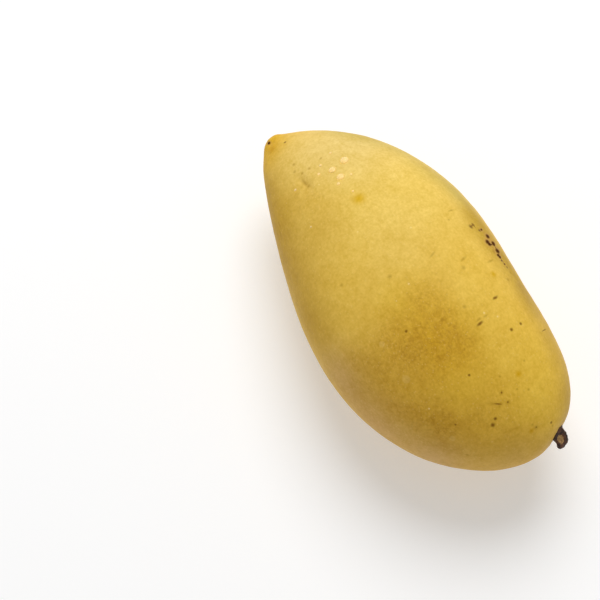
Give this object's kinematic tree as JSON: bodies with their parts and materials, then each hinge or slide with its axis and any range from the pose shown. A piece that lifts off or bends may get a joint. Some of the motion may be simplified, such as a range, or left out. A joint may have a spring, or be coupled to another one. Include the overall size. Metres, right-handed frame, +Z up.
{
  "type": "mango",
  "caption": "Ripe yellow mango of a long, pointed kind, lying on its cheek, with a small beak at the tip and a dried, broken stem stub at the broad end.",
  "frame": {"origin": "under the middle of the fruit and its stem stub, on the surface that it lies on", "axes": "+X along the fruit's length towards the stem end, +Y towards its strongly curved back, +Z up through its cheeks"},
  "size_m": [0.1536, 0.0776, 0.0675],
  "materials": {
    "mango_skin": "waxy golden-yellow fruit skin with a fine pale speckle, brown freckles, a dull bruise and a soft satin sheen",
    "dry_stem": "dry, knobby, dark brown bark with a pale tan broken end"
  },
  "bodies": {
    "root": {"fruit": "mango_skin", "stem_stub": "dry_stem"}
  },
  "joints": []
}
